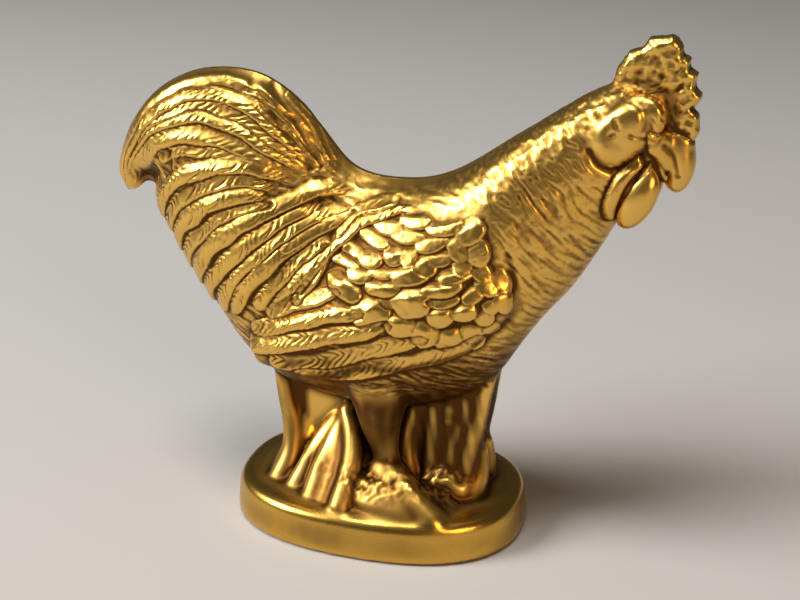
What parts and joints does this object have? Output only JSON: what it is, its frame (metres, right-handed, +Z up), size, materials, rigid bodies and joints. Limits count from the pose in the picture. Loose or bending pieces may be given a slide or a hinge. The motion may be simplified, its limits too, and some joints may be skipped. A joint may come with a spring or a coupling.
{
  "type": "rooster figurine",
  "caption": "Cast brass cockerel ornament standing on an oval base, with a hollow body, toothed comb, modelled feathers and reeds round the legs.",
  "frame": {"origin": "centre of the felt's underside, where the ornament rests", "axes": "+Z up; +X the way the bird faces; the bird's right side is -Y, and the bird is alike on both sides of y = 0"},
  "size_m": [0.1552, 0.0588, 0.138],
  "materials": {
    "cast_brass": "polished on the high parts, brown in the recesses",
    "base_brass": "brushed and polished side, matt ground",
    "felt": "short dense nap"
  },
  "bodies": {
    "root": {"right_body_half": "cast_brass", "left_body_half": "cast_brass", "comb": "cast_brass", "right_leg": "cast_brass", "left_leg": "cast_brass", "rear_reeds": "cast_brass", "front_reeds": "cast_brass", "base": "base_brass", "felt_pad": "felt"}
  },
  "joints": []
}
